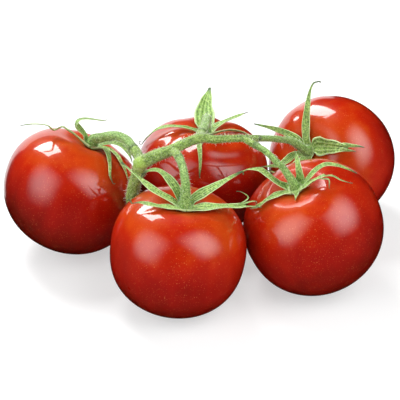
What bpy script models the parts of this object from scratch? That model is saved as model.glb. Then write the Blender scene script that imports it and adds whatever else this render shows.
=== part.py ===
"""A truss of five ripe vine tomatoes, cut from the plant and lying on a flat surface.

Metres, +Z up. The surface is at z = 0 and the truss is longest along X. Each tomato is one solid
that rests on a small flat. A calyx sits in the hollow of each tomato, a pedicel carries each
calyx, and the pedicels leave the main stem at their knuckles.
"""

from math import cos, exp, radians, sin, tau

import bmesh
import bpy
from mathutils import Matrix, Vector

MM = 0.001
TOUCH_GAP = 0.3  # mm, between two pieces that touch
REST_PRESS = 0.5  # mm that a tomato is flattened by where it rests
STEPS_BETWEEN = 8  # straight steps that a smooth route takes from one given point to the next

# Lengths below are in mm, and bearings in degrees about a fruit's axis, from +X towards +Y.

# Tomato shape, as shares of the radius
FULLNESS = 2.2  # 2 would be an ellipsoid, more is squarer
HOLLOW_WIDTH = 0.27
RIB_TILT = 0.65  # radians from the axis to where the ribs are strongest
RIB_SPREAD = 0.5
TOMATO_SEGMENTS = 32
TOMATO_RINGS = 18
RING_CROWDING = 1.25  # above 1, the rings are closer together in the hollow

# Each tomato: its place on the surface, its radius, its half height and how much its shoulders
# are wider than its base (both as shares of the radius), the way its stem end looks, how deep
# its hollow is, and its ribs (how many, how strong, the bearing of one of them).
TOMATOES = {
    "left": dict(
        place=(-66.2, 9.9), radius=34.0, squash=0.86, taper=0.07,
        looks=(0.40, 0.19, 0.90), hollow=0.13, ribs=(5, 0.012, 80),
    ),
    "front": dict(
        place=(-12.3, -40.4), radius=31.8, squash=0.89, taper=0.03,
        looks=(0.13, -0.03, 0.99), hollow=0.14, ribs=(5, 0.016, -60),
    ),
    "right": dict(
        place=(52.1, -23.3), radius=33.2, squash=0.89, taper=0.025,
        looks=(-0.37, -0.15, 0.92), hollow=0.14, ribs=(5, 0.014, -100),
    ),
    "back_right": dict(
        place=(67.2, 41.3), radius=32.0, squash=0.94, taper=0.11,
        looks=(-0.56, -0.63, 0.55), hollow=0.15, ribs=(4, 0.012, 20),
    ),
    "back": dict(
        place=(-1.0, 29.4), radius=33.4, squash=0.85, taper=0.08,
        looks=(0.08, 0.10, 0.99), hollow=0.18, ribs=(6, 0.02, -90),
    ),
}

# Calyx hub, a flat disc between the hollow's floor and the end of the pedicel
HUB_RADIUS = 3.6
HUB_FOOT = 1.2
HUB_CROWN = 2.8
SEPAL_THICKNESS = 0.8
SEPAL_CUP = 0.10  # how far a sepal's edges rise, as a share of its width
SEPAL_RINGS = 9
TIP_RINGS = 4
SKIN_CLEARANCE = 1.3  # from the skin to a sepal's middle
OVER_SKIN = 0.97  # the share of a tomato's radius within which a sepal has skin under it

# Each sepal: the bearing it leaves the hub at, its greatest width, and the points that its middle
# passes, each as (distance from the axis, height above the hollow's floor, bearing). A sepal with
# a forked end has two more such lists, the one on its anticlockwise side first.
SEPALS = {
    "left": [
        (170, 4.0, [(5.5, 6, -170), (12, 10, -148), (15, 12, -138), (14, 14.5, -139), (9.5, 15.5, -140),
                    (4.5, 15.5, -142), (3, 15, 75), (8.5, 14.5, 71)]),
        (-150, 2.8, [(10, 5, -152), (15.5, 7, -150), (18.5, 7.5, -154), (21, 4, -160), (27.5, 7, -150),
                     (33, 5, -155), (37.5, 1.5, -160)]),
        (-35, 3.2, [(7, 3.4, -20), (13, 3.8, -47), (20.5, 1.5, -57), (26, -1.5, -60), (28.5, -4, -57)]),
        (10, 2.8, [(8, 3.4, 3), (13.5, 3.8, -20), (18.5, 2.5, -29), (23, 0, -31), (28.5, -4.5, -33)]),
        (60, 4.0, [(6, 4, 40), (7.5, 5.5, 24), (10.5, 7.5, 8), (14.5, 7.5, 0), (19, 5.5, -6),
                   (22, 2.5, -8)]),
    ],
    "front": [
        (170, 5.0, [(6.5, 4, 175), (15.5, 8, 174), (24.5, 12, 166), (32.5, 15, 161)]),
        (118, 4.6, [(4.8, 5, 125), (8, 9, 137), (13.5, 12, 140), (17.5, 13, 143), (20.5, 12.5, 150),
                    (22.5, 10.5, 154)]),
        (48, 4.8, [(4.8, 4.2, 40), (9, 7, 31), (16, 10, 30), (23.5, 13, 30), (28, 15, 29)]),
        (-25, 7.5, [(9, 3.6, -16), (17, 5, -6), (24, 5, 0), (27.5, 5, 3)],
         [(30.5, 6, 7), (33, 5, 10), (34, 3.5, 12)], [(31, 4.5, 4), (34.5, 4.5, 3)]),
        (-125, 4.4, [(7, 3.4, -137), (10.5, 4, -147), (14, 4, -153), (18.5, 4.2, -163), (21.5, 4, -171),
                     (24, 2.5, -176), (25, -1, 175)]),
    ],
    "right": [
        (163, 4.4, [(8, 7, 163), (12, 11, 156), (15, 13, 153), (20.5, 13, 153), (25.5, 11, 152),
                    (30, 9, 151)]),
        (-152, 4.0, [(6, 3, -158), (9.5, 3.8, -159), (14.5, 3.8, -161), (18.5, 2.5, -163),
                     (23.5, -1, -175)]),
        (-90, 2.4, [(6, 3, -84), (8.5, 3.8, -87), (11, 4, -90)]),
        (-33, 4.8, [(6.5, 4, -28), (12, 7, -22), (16.5, 8.2, -17)],
         [(19, 6.5, -13), (22.5, 2.5, -12), (26, -1.5, -9)], [(18, 6, -19), (18, 3, -26)]),
        (15, 3.4, [(9, 7, -5), (13, 9, 1), (17.5, 10, 1), (22, 8, 0), (26, 4, 0), (29, -1, 2)]),
        (70, 4.6, [(4.8, 4.5, 42), (5.5, 7, 42), (7, 9.2, 51), (9.5, 11.2, 61), (13.5, 13.2, 71)]),
    ],
    "back_right": [
        (92, 4.6, [(6, 3.6, 89), (13, 5, 86), (21, 7, 82), (28.5, 8.2, 80), (33, 9, 77),
                   (34.5, 7.8, 74)]),
        (140, 4.0, [(6.5, 3.6, 126), (13.5, 7, 135), (19.5, 12, 142), (26.5, 17, 148)]),
        (-172, 3.6, [(7, 6, -162), (10, 10, -147), (12.5, 15, -139), (13.5, 23, -132),
                     (15.5, 30, -132)]),
        (-118, 3.8, [(7, 7, -115), (11, 10.5, -115), (14.5, 15, -118), (15.5, 21, -122),
                     (15.5, 28, -123)]),
        (-62, 4.0, [(6, 4, -80), (8.5, 4.6, -90)]),
        (20, 8.6, [(6, 3.6, 15), (9.5, 3.8, 6), (16.5, 5, -1), (23.5, 5, -4)],
         [(28, 4.2, -2), (32.5, 4, -4)], [(25.5, 4.8, -7), (28.5, 4.8, -8)]),
    ],
    "back": [
        (95, 11.0, [(8, 5, 97), (12.5, 8, 95), (17.5, 11, 92), (23, 14, 89), (26.5, 15.5, 88)]),
        (-165, 3.6, [(8, 4, -158), (13.5, 6, -157), (19.5, 6, -163), (25, 3.5, -169), (29, -1.5, -174),
                     (31.5, -6.5, -178)]),
        (-105, 3.6, [(6.5, 3.2, -98), (14.5, 4.2, -99), (20, 2.6, -100), (24, 0, -97), (28, -3.5, -95),
                     (32, -9, -94)]),
        (-45, 3.6, [(6, 3.6, -48), (9, 5, -30), (12.5, 5, -13), (18.5, 2.5, -2), (23.5, -2.5, -2),
                    (30, -8.5, 6)]),
        (30, 4.2, [(6.5, 4.5, 32), (12.5, 6.5, 32), (17.5, 9, 25), (21.5, 12, 17)]),
    ],
}

# The main stem from its cut end, past the knob, to where the last two pedicels leave it, as
# (x, y, z, thickness)
MAIN_STEM = [
    (-33.5, -11, 33, 5.8), (-34.5, -12.5, 41, 6.0), (-33, -15, 49.5, 6.0), (-31, -17, 57, 6.3),
    (-29.5, -18, 62.5, 7.4), (-25.5, -18, 65, 7.0), (-20.5, -18, 67.5, 6.6), (-15.5, -18, 69.5, 6.0),
    (-9.5, -15.5, 71.5, 4.9), (-3.5, -12.5, 72.5, 4.8), (0, -11, 72.2, 4.5), (5, -10, 71, 4.3),
    (11, -8.5, 70.5, 4.0), (18, -7, 70, 3.8),
]
MAIN_STEM_RINGS = 26
STEM_SIDES = 10

# Each pedicel: its thickness at the main stem, in the middle and at the calyx, the share of its
# length that its knuckle is at, and the points it passes on its way from the main stem.
PEDICELS = {
    "left": (5.0, 4.3, 5.2, 0.20, [
        (-29.5, -18, 62.5), (-31.5, -12.5, 64.5), (-34, -8, 65.7), (-36.5, -3, 66.5),
        (-40, 1.5, 66), (-43, 5, 64.7), (-46.5, 8.5, 62.5), (-50, 11.5, 60),
    ]),
    "front": (4.4, 4.2, 5.6, 0.24, [
        (-15, -18, 69.5), (-12, -25, 70.5), (-10, -32.5, 69.5), (-9, -37.5, 67), (-8.5, -40.5, 63.5),
    ]),
    "right": (3.6, 3.7, 5.4, 0.20, [
        (18, -7, 70), (23, -12, 69.5), (27.5, -16.5, 69), (31, -20, 67.5), (34, -23, 65.7),
        (37, -25.5, 63.5),
    ]),
    "back_right": (3.4, 3.1, 5.2, 0.20, [
        (18, -7, 70), (25.5, 0, 66), (32.5, 7, 62), (38.5, 13, 58), (43, 17, 55), (46.5, 19.5, 51.5),
    ]),
    "back": (4.6, 4.2, 5.2, 0.20, [
        (-3.5, -12.5, 72.5), (-1.5, -4, 70.5), (0, 5, 69), (1, 14, 67.5), (1.5, 22, 65), (1.6, 28, 61),
    ]),
}
PEDICEL_RINGS = 17
CALYX_LEAD = 5  # mm above the hollow's floor, from where a pedicel runs straight down to its calyx
KNUCKLE_SWELL = 0.16
KNUCKLE_LENGTH = 2.2

TOMATO_RED = (0.62, 0.022, 0.008, 1)
CALYX_GREEN = (0.25, 0.42, 0.12, 1)
PEDICEL_GREEN = (0.21, 0.36, 0.11, 1)
STEM_GREEN = (0.18, 0.31, 0.09, 1)


def clear_scene():
    for thing in list(bpy.data.objects):
        bpy.data.objects.remove(thing)


def smooth_route(points, count):
    """count points in equal steps along a smooth curve through the given ones."""
    points = [Vector(p) for p in points]
    ends = [2 * points[0] - points[1], *points, 2 * points[-1] - points[-2]]
    fine = [points[0]]
    for a, b, c, d in zip(ends, ends[1:], ends[2:], ends[3:]):
        square = a - 2.5 * b + 2 * c - d / 2
        cube = 1.5 * (b - c) + (d - a) / 2
        for t in (step / STEPS_BETWEEN for step in range(1, STEPS_BETWEEN + 1)):
            fine.append(b + (c - a) * t / 2 + square * t**2 + cube * t**3)
    travelled = [0.0]
    for a, b in zip(fine, fine[1:]):
        travelled.append(travelled[-1] + (b - a).length)
    route = []
    for step in range(count):
        distance = travelled[-1] * step / (count - 1)
        i = max(k for k in range(len(fine) - 1) if travelled[k] <= distance + 1e-9)
        share = (distance - travelled[i]) / (travelled[i + 1] - travelled[i])
        route.append(fine[i].lerp(fine[i + 1], share))
    return route


def directions(route):
    """The way a route runs at each of its points."""
    ahead = route[1:] + [2 * route[-1] - route[-2]]
    behind = [2 * route[0] - route[1]] + route[:-1]
    return [(a - b).normalized() for a, b in zip(ahead, behind)]


def material(name, colour, roughness):
    made = bpy.data.materials.new(name)
    made.use_nodes = True
    made.diffuse_color = colour
    shader = made.node_tree.nodes["Principled BSDF"]
    shader.inputs["Base Color"].default_value = colour
    shader.inputs["Roughness"].default_value = roughness
    return made


def solid(name, bm, look, truss, place=Matrix.Identity(4)):
    """The bmesh, drawn in mm, as one smooth object in metres."""
    bmesh.ops.recalc_face_normals(bm, faces=bm.faces)
    bm.transform(Matrix.Scale(MM, 4))
    mesh = bpy.data.meshes.new(name)
    bm.to_mesh(mesh)
    bm.free()
    mesh.shade_smooth()
    mesh.set_sharp_from_angle(angle=radians(50))
    mesh.materials.append(look)
    made = bpy.data.objects.new(name, mesh)
    bpy.context.scene.collection.objects.link(made)
    made.matrix_world = Matrix.Translation(place.translation * MM) @ place.to_3x3().to_4x4()
    made.parent = truss
    return made


# Tomatoes


def skin_point(tomato, tilt, bearing):
    """The skin at a tilt from the stem end's axis, in the tomato's own frame, over its radius."""
    count, strength, at = tomato["ribs"]
    fade = exp(-(((tilt - RIB_TILT) / RIB_SPREAD) ** 2))
    rib = strength * fade * cos(count * (bearing - radians(at)))
    across, along = sin(tilt), cos(tilt)
    flat = abs(along / tomato["squash"])
    reach = (abs(across) ** FULLNESS + flat**FULLNESS) ** (-1 / FULLNESS) * (1 + rib)
    out, up = reach * across * (1 + tomato["taper"] * along), reach * along
    if up > 0:
        up -= tomato["hollow"] * exp(-((out / HOLLOW_WIDTH) ** 2))
    return Vector((out * cos(bearing), out * sin(bearing), up))


def skin_height(tomato, distance, bearing):
    """How high the upper skin is above the hollow's floor, that far from the axis, in mm."""
    low, high = 0.0, 1.5
    for _ in range(30):
        tilt = (low + high) / 2
        found = skin_point(tomato, tilt, bearing) * tomato["radius"]
        if found.xy.length < distance:
            low = tilt
        else:
            high = tilt
    return found.z - hollow_floor(tomato)


def hollow_floor(tomato):
    return (tomato["squash"] - tomato["hollow"]) * tomato["radius"]


def own_axes(tomato):
    """The tomato's rotation: its stem end is along its own Z, and its own X is over the world's X."""
    up = Vector(tomato["looks"]).normalized()
    side = (Vector((1, 0, 0)) - up * up.x).normalized()
    return Matrix((side, up.cross(side), up)).transposed()


def tomato_mesh(tomato):
    bm = bmesh.new()
    rows = []
    for ring in range(1, TOMATO_RINGS):
        tilt = tau / 2 * (ring / TOMATO_RINGS) ** RING_CROWDING
        turns = [tau * s / TOMATO_SEGMENTS for s in range(TOMATO_SEGMENTS)]
        ring_points = [skin_point(tomato, tilt, turn) * tomato["radius"] for turn in turns]
        rows.append([bm.verts.new(point) for point in ring_points])
    for upper, lower in zip(rows, rows[1:]):
        for s in range(TOMATO_SEGMENTS):
            after = (s + 1) % TOMATO_SEGMENTS
            bm.faces.new((upper[s], lower[s], lower[after], upper[after]))
    for row, tilt in ((rows[0], 0), (rows[-1], tau / 2)):
        pole = bm.verts.new(skin_point(tomato, tilt, 0) * tomato["radius"])
        for s in range(TOMATO_SEGMENTS):
            bm.faces.new((row[s], row[(s + 1) % TOMATO_SEGMENTS], pole))
    return bm


def stand(tomato, bm):
    """Where the tomato is when its lowest point is pressed flat on the surface."""
    axes = own_axes(tomato)
    lowest = min((axes @ v.co).z for v in bm.verts)
    place = axes.to_4x4()
    place.translation = Vector((*tomato["place"], -lowest - REST_PRESS))
    return place


def press_flat(bm, place):
    """Cuts off what is below the surface and closes the cut with one flat face."""
    back = place.inverted()
    cut = bmesh.ops.bisect_plane(
        bm,
        geom=bm.verts[:] + bm.edges[:] + bm.faces[:],
        dist=1e-4,
        plane_co=back @ Vector((0, 0, 0)),
        plane_no=back.to_3x3() @ Vector((0, 0, 1)),
        clear_inner=True,
    )
    rim = [e for e in cut["geom_cut"] if isinstance(e, bmesh.types.BMEdge)]
    bmesh.ops.edgeloop_fill(bm, edges=rim)


# Calyces


def local_point(distance, height, bearing):
    return Vector((distance * cos(radians(bearing)), distance * sin(radians(bearing)), height))


def above_skin(tomato, distance, height, bearing):
    """The point, lifted where it would sink into the skin."""
    if distance < OVER_SKIN * tomato["radius"]:
        height = max(height, skin_height(tomato, distance, radians(bearing)) + SKIN_CLEARANCE)
    return local_point(distance, height, bearing)


def sepal_width(share):
    """A sepal's width at a share of its length, over its greatest width."""
    rise = min(1, 0.75 + 1.6 * share)
    return rise * (0.14 + 0.86 * (1 - share) ** 1.25)


def strip(bm, a, b):
    """Faces between two rows of points that may differ in number."""
    i = j = 0
    while i < len(a) - 1 or j < len(b) - 1:
        if j == len(b) - 1 or (i < len(a) - 1 and (i + 1) / (len(a) - 1) <= (j + 1) / (len(b) - 1)):
            bm.faces.new((a[i], a[i + 1], b[j]))
            i += 1
        else:
            bm.faces.new((a[i], b[j + 1], b[j]))
            j += 1


def join_rows(bm, a, b):
    """Top and bottom faces between two cross-sections, and the sides where a's top and bottom part."""
    strip(bm, a[0], b[0])
    strip(bm, a[1], b[1])
    for end in (0, -1):
        if a[0][end] is not a[1][end]:
            bm.faces.new((a[0][end], a[1][end], b[0][end]))


def grow_blade(bm, row, route, side, widths):
    """Adds cross-sections along a route, from an open row on. Returns the last one, with its side."""
    for middle, run, width in zip(route, directions(route), widths):
        side = (side - run * side.dot(run)).normalized()
        normal = run.cross(side)
        thick = SEPAL_THICKNESS * (0.5 + 0.5 * width / widths[0])
        edge = normal * SEPAL_CUP * width
        left = bm.verts.new(middle + side * width / 2 + edge)
        right = bm.verts.new(middle - side * width / 2 + edge)
        top = bm.verts.new(middle + normal * thick / 2)
        under = bm.verts.new(middle - normal * thick / 2)
        grown = ([left, top, right], [left, under, right])
        join_rows(bm, row, grown)
        row = grown
    return row, side


def close_blade(bm, row, end):
    tip = bm.verts.new(end)
    for edge in row:
        for a, b in zip(edge, edge[1:]):
            bm.faces.new((a, b, tip))


def add_sepal(bm, tomato, row, bearing, width, points, *forks):
    side = local_point(1, 0, bearing + 90)
    rim = local_point(HUB_RADIUS, (HUB_FOOT + HUB_CROWN) / 2, bearing)
    route = smooth_route([rim] + [above_skin(tomato, *p) for p in points], SEPAL_RINGS + 1)[1:]
    length = 0.75 if forks else 1
    widths = [width * sepal_width(length * (i + 1) / SEPAL_RINGS) for i in range(SEPAL_RINGS)]
    if not forks:
        row, side = grow_blade(bm, row, route[:-1], side, widths[:-1])
        close_blade(bm, row, route[-1])
        return
    row, side = grow_blade(bm, row, route, side, widths)
    (left, top, right), (_, under, _) = row
    halves = (([left, top], [left, under]), ([top, right], [under, right]))
    for half, way, fork in zip(halves, (1, -1), forks):
        start = route[-1] + side * way * widths[-1] / 4
        tip = smooth_route([start] + [above_skin(tomato, *p) for p in fork], TIP_RINGS + 2)[1:]
        shares = [1 - (i + 1) / (TIP_RINGS + 1.5) for i in range(TIP_RINGS)]
        last, _ = grow_blade(bm, half, tip[:-1], side, [widths[-1] * 0.5 * share for share in shares])
        close_blade(bm, last, tip[-1])


def calyx_mesh(tomato, sepals):
    """One star: each sepal grows out of its sector of the hub, and neighbours share a notch."""
    bm = bmesh.new()
    sepals = sorted(sepals, key=lambda s: s[0])
    bearings = [s[0] for s in sepals]
    after = bearings[1:] + [bearings[0] + 360]
    notches = []
    for a, b in zip(bearings, after):
        top = bm.verts.new(local_point(HUB_RADIUS, HUB_CROWN, (a + b) / 2))
        under = bm.verts.new(local_point(HUB_RADIUS, HUB_FOOT, (a + b) / 2))
        notches.append((top, under))
    crown, foot = [], []
    for i, sepal in enumerate(sepals):
        top = bm.verts.new(local_point(HUB_RADIUS, HUB_CROWN, sepal[0]))
        under = bm.verts.new(local_point(HUB_RADIUS, HUB_FOOT, sepal[0]))
        (left_top, left_under), (right_top, right_under) = notches[i], notches[i - 1]
        add_sepal(bm, tomato, ([left_top, top, right_top], [left_under, under, right_under]), *sepal)
        crown += [top, left_top]
        foot += [under, left_under]
    bm.faces.new(crown)
    bm.faces.new(foot)
    return bm


# Stems


def tube_mesh(route, runs, thicknesses, sides=STEM_SIDES):
    """A closed round tube: each ring's middle, the way it faces and its thickness."""
    bm = bmesh.new()
    across = Vector((0.3, 0.2, 1))
    rings = []
    for middle, run, thickness in zip(route, runs, thicknesses):
        across = (across - run * across.dot(run)).normalized()
        other = run.cross(across)
        turns = [tau * s / sides for s in range(sides)]
        offsets = [(across * cos(turn) + other * sin(turn)) * thickness / 2 for turn in turns]
        rings.append([bm.verts.new(middle + offset) for offset in offsets])
    for a, b in zip(rings, rings[1:]):
        for s in range(sides):
            bm.faces.new((a[s], a[(s + 1) % sides], b[(s + 1) % sides], b[s]))
    bm.faces.new(rings[0])
    bm.faces.new(rings[-1])
    return bm


def pedicel_halves(pedicel, place):
    """The stub on the main stem and the rest up to the hub, as (route, directions, thicknesses)."""
    start, waist, end, knuckle_at, points = pedicel
    leads = [place @ Vector((0, 0, height)) for height in (CALYX_LEAD, HUB_CROWN + TOUCH_GAP)]
    route = smooth_route([*points, *leads], PEDICEL_RINGS)
    length = sum((b - a).length for a, b in zip(route, route[1:]))
    knuckle = round(knuckle_at * (PEDICEL_RINGS - 1))
    thicknesses = []
    for i in range(PEDICEL_RINGS):
        share = i / (PEDICEL_RINGS - 1)
        plain = waist + (start - waist) * (1 - share) ** 4 + (end - waist) * share**4
        off = (i - knuckle) / (PEDICEL_RINGS - 1) * length / KNUCKLE_LENGTH
        thicknesses.append(plain * (1 + KNUCKLE_SWELL * exp(-(off**2))))
    runs = directions(route)
    runs[-1] = place.to_3x3() @ Vector((0, 0, -1))
    half_gap = runs[knuckle] * TOUCH_GAP / 2
    lower = route[:knuckle] + [route[knuckle] - half_gap]
    upper = [route[knuckle] + half_gap] + route[knuckle + 1 :]
    stub = (lower, runs[: knuckle + 1], thicknesses[: knuckle + 1])
    rest = (upper, runs[knuckle:], thicknesses[knuckle:])
    return stub, rest


def main_stem(stubs, look, truss):
    """The main stem with the pedicels' stubs joined on."""
    route = smooth_route(MAIN_STEM, MAIN_STEM_RINGS)
    middles = [p.xyz for p in route]
    stem = tube_mesh(middles, directions(middles), [p.w for p in route])
    made = solid("main_stem", stem, look, truss)
    for name, stub in stubs.items():
        guide = solid(f"stub_{name}", tube_mesh(*stub, STEM_SIDES - 2), look, truss)
        guide.hide_render = True
        guide.display_type = "WIRE"
        union = made.modifiers.new(f"join_{name}", "BOOLEAN")
        union.operation = "UNION"
        union.solver = "EXACT"
        union.object = guide


def build():
    clear_scene()
    truss = bpy.data.objects.new("truss", None)
    bpy.context.scene.collection.objects.link(truss)
    skin = material("tomato_skin", TOMATO_RED, 0.22)
    calyx_look = material("calyx_leaf", CALYX_GREEN, 0.6)
    pedicel_look = material("pedicel_skin", PEDICEL_GREEN, 0.6)
    stem_look = material("stem_skin", STEM_GREEN, 0.6)
    stubs = {}
    for name, tomato in TOMATOES.items():
        body = tomato_mesh(tomato)
        place = stand(tomato, body)
        press_flat(body, place)
        solid(f"tomato_{name}", body, skin, truss, place)
        seat = place @ Matrix.Translation((0, 0, hollow_floor(tomato)))
        solid(f"calyx_{name}", calyx_mesh(tomato, SEPALS[name]), calyx_look, truss, seat)
        stubs[name], rest = pedicel_halves(PEDICELS[name], seat)
        solid(f"pedicel_{name}", tube_mesh(*rest), pedicel_look, truss)
    main_stem(stubs, stem_look, truss)


build()
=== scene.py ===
"""The looks of a truss of five ripe vine tomatoes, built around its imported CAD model.

Every CAD node is replaced by a finer piece that stands where its node's box says. Lengths in the
tables are in mm and bearings in degrees about a fruit's axis, from +X towards +Y. The scene is in
metres, +Z up.
"""

import random
from math import atan2, cos, exp, pi, radians, sin, tau

import bmesh
import bpy
import numpy as np
from mathutils import Matrix, Vector, kdtree, noise


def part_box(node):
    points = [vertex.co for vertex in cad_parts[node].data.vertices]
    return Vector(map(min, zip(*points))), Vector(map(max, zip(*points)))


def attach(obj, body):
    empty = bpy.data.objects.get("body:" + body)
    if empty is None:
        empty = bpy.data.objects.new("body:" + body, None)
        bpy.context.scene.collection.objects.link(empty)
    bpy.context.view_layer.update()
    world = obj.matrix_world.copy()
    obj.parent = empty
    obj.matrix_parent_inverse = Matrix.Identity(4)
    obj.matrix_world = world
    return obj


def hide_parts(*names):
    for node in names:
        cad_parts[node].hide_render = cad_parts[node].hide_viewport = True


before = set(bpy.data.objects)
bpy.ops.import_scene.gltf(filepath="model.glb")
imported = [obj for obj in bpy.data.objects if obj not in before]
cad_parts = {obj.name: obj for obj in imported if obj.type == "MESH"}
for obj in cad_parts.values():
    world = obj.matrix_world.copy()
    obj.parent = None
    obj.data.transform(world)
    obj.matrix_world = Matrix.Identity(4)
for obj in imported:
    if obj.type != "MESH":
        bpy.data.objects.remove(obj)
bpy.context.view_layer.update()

MM = 0.001
SEED = 20

# Tomato shape
HOLLOW_WIDTH = 0.27  # of the hollow at the stem end, over the radius
RIB_TILT = 0.65  # radians from the axis to where the ribs are strongest
RIB_SPREAD = 0.5
REST_PRESS = 0.5  # how far a tomato is flattened by its own weight
PRESS_SOFTNESS = 0.12
LUMP_SIZE = 0.20
BLOSSOM_DIMPLE = 0.7  # how deep it is
BLOSSOM_WIDTH = 3.2
TOMATO_SEGMENTS = 200
TOMATO_RINGS = 130

# Each tomato's shape. squash is its height over its width and taper how much wider its upper half
# is. A fullness of 2 is an ellipsoid, and more is squarer. looks is the way its stem end points,
# hollow is a depth over the radius, and ribs are (count, strength, bearing of one). A fold is a
# furrow in the skin: its two ends, each as (radians from the axis, bearing), its half width and
# its depth.
TOMATOES = {
    "left": dict(
        squash=0.86, taper=0.07, fullness=2.2,
        looks=(0.40, 0.19, 0.90), hollow=0.13, ribs=(5, 0.006, 80),
        folds=[((0.35, 138), (0.9, 134), 3.4, 0.3), ((0.3, -100), (0.6, -104), 3.4, 0.2)],
    ),
    "front": dict(
        squash=0.89, taper=0.03, fullness=2.45,
        looks=(0.13, -0.03, 0.99), hollow=0.14, ribs=(4, 0.003, -60),
        folds=[((0.3, 20), (0.6, 25), 3.5, 0.3), ((0.3, 120), (0.75, 112), 3.0, 0.5)],
    ),
    "right": dict(
        squash=0.89, taper=0.025, fullness=2.3,
        looks=(-0.37, -0.15, 0.92), hollow=0.14, ribs=(4, 0.003, -100),
        folds=[((0.75, -158), (1.35, -170), 2.2, 0.4), ((0.30, -62), (0.60, -60), 3.0, 0.3),
               ((0.3, 40), (0.7, 45), 3.0, 0.4)],
    ),
    "back_right": dict(
        squash=0.94, taper=0.11, fullness=2.2,
        looks=(-0.56, -0.63, 0.55), hollow=0.15, ribs=(4, 0.007, 20),
        folds=[((0.3, 105), (1.0, 108), 3.2, 0.5), ((0.3, -60), (0.7, -62), 3.2, 0.3)],
    ),
    "back": dict(
        squash=0.85, taper=0.08, fullness=2.25,
        looks=(0.08, 0.10, 0.99), hollow=0.18, ribs=(6, 0.012, -90),
        folds=[((0.3, -150), (0.95, -146), 3.0, 0.8), ((0.80, -95), (0.90, -35), 2.4, 0.35),
               ((0.3, 60), (0.8, 64), 3.0, 0.6)],
    ),
}

# Calyx. Heights are above the hollow's floor.
HUB_RADIUS = 3.6
HUB_FOOT = 1.0
HUB_CROWN = 2.8
HUB_RINGS = 4
SEPAL_THICKNESS = 0.75
SEPAL_EDGE = 0.22  # how thick its edge is
SEPAL_CUP = 0.10  # how far its edges rise, over its width
VEIN_PHASE = 4.5 * pi  # of the wave across a sepal, from its midrib to its edge
SEPAL_COLUMNS = 18
SEPAL_RINGS = 64
BASE_RINGS = 9  # over which a sepal takes its own shape
FORK_SHARE = 0.84  # of a sepal's length, where it gives way to its strands
STRAND_OFFSETS = (0.22, -0.22, 0.0)  # of each strand's start from the middle, over the width there
STRAND_LEAD = 0.7  # how far inside the blade a strand starts, over the blade's width
STRAND_COLUMNS = 4
STRAND_CURL = 0.7
TIP_CURL = 0.9  # the radius that a tip rolls up to
THINNEST_SEPAL = 0.32
THINNEST_BLADE = 0.3
SKIN_CLEARANCE = 1.3
OVER_SKIN = 0.97  # of the radius, inside which a sepal is kept off the skin


def sepal(bearing, width, points, curl=0.0, twist=0.0, strands=()):
    """A sepal leaves the hub at its bearing and passes points, each as (distance from the axis,
    height above the hollow's floor, bearing). curl is how many turns its tip rolls up or, below 0,
    down; twist is in degrees over its length. A strand is a thin tip (width, points, curl)."""
    return dict(
        bearing=bearing, width=width, points=points, curl=curl, twist=twist, strands=strands
    )


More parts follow.
